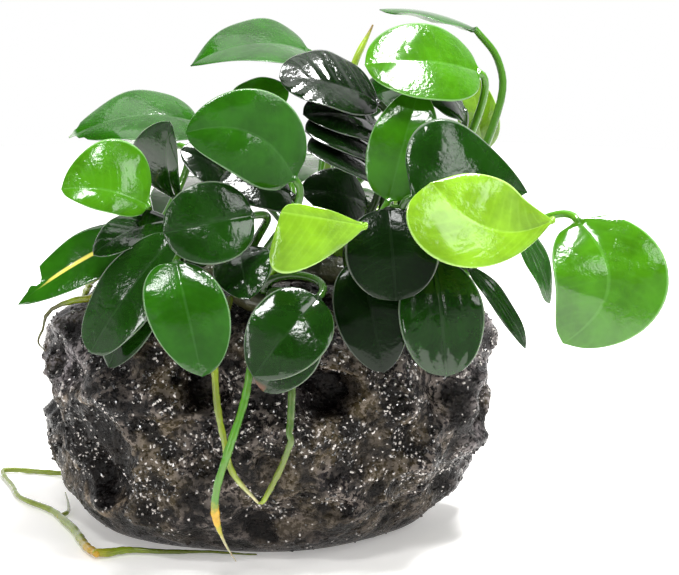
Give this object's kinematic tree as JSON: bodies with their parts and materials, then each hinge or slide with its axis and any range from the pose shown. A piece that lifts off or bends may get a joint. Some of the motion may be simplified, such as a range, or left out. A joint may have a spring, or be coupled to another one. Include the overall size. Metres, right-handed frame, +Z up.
{
  "type": "anubias on stone",
  "caption": "Small-leaved anubias water plant with glossy rounded leaves, its rhizome and roots holding on to a lump of dark, wet, pitted lava rock that stands on a flat underside.",
  "frame": {"origin": "middle of the flat facet on the underside of the stone, at the level of the surface it stands on", "axes": "+X to the right along the stone's length as the front is seen, -Y out of the front towards the viewer, +Z up"},
  "size_m": [0.1503, 0.0996, 0.1174],
  "materials": {
    "lava_rock": "dark vesicular rock, wet, with fine pits and small glossy glints",
    "rhizome": "olive green bark with close ring scars, semi-gloss",
    "root": "yellow-green, smooth and slightly glossy, paler at the tips",
    "leaf_green": "mid-green leathery leaf, glossy and wet",
    "leaf_bright": "bright green leathery leaf, glossy and wet",
    "leaf_young": "yellow-green young leaf, semi-gloss",
    "leaf_dark": "dark green old leaf, very glossy and wet"
  },
  "bodies": {
    "root": {"leaf_arching": "leaf_bright", "leaf_back_high": "leaf_green", "leaf_back_left": "leaf_green", "leaf_back_low_left": "leaf_dark", "leaf_back_low_right": "leaf_dark", "leaf_back_middle": "leaf_green", "leaf_back_right": "leaf_green", "leaf_behind_broad": "leaf_bright", "leaf_behind_top": "leaf_dark", "leaf_bitten": "leaf_green", "leaf_bright_left": "leaf_bright", "leaf_broad_left": "leaf_green", "leaf_brown_spot": "leaf_dark", "leaf_far_right": "leaf_bright", "leaf_folded_left": "leaf_dark", "leaf_front_centre": "leaf_dark", "leaf_front_left": "leaf_green", "leaf_grey_left": "leaf_dark", "leaf_grey_right": "leaf_dark", "leaf_high_left": "leaf_green", "leaf_inner_right": "leaf_dark", "leaf_long_left": "leaf_dark", "leaf_narrow_right": "leaf_dark", "leaf_pale_right": "leaf_green", "leaf_pointed_centre": "leaf_dark", "leaf_round_centre": "leaf_dark", "leaf_round_left": "leaf_dark", "leaf_shaded_centre": "leaf_dark", "leaf_shaded_left": "leaf_dark", "leaf_streaked_right": "leaf_dark", "leaf_tier_lower": "leaf_dark", "leaf_tier_middle": "leaf_dark", "leaf_tier_upper": "leaf_dark", "leaf_top_dark": "leaf_dark", "leaf_top_left": "leaf_green", "leaf_top_right": "leaf_bright", "leaf_under_broad": "leaf_dark", "leaf_under_long": "leaf_dark", "leaf_under_top": "leaf_dark", "leaf_upright_right": "leaf_green", "leaf_young_back": "leaf_young", "leaf_young_centre": "leaf_young", "leaf_young_right": "leaf_young", "rhizome_back": "rhizome", "rhizome_front": "rhizome", "rhizome_main": "rhizome", "rhizome_right": "rhizome", "root_back_left": "root", "root_back_right": "root", "root_front_centre": "root", "root_front_left": "root", "root_front_right": "root", "root_ground_front": "root", "root_ground_left": "root", "root_ground_side": "root", "root_left_shoulder": "root", "root_right_shoulder": "root", "stone": "lava_rock", "young_shoot": "leaf_young"}
  },
  "joints": []
}
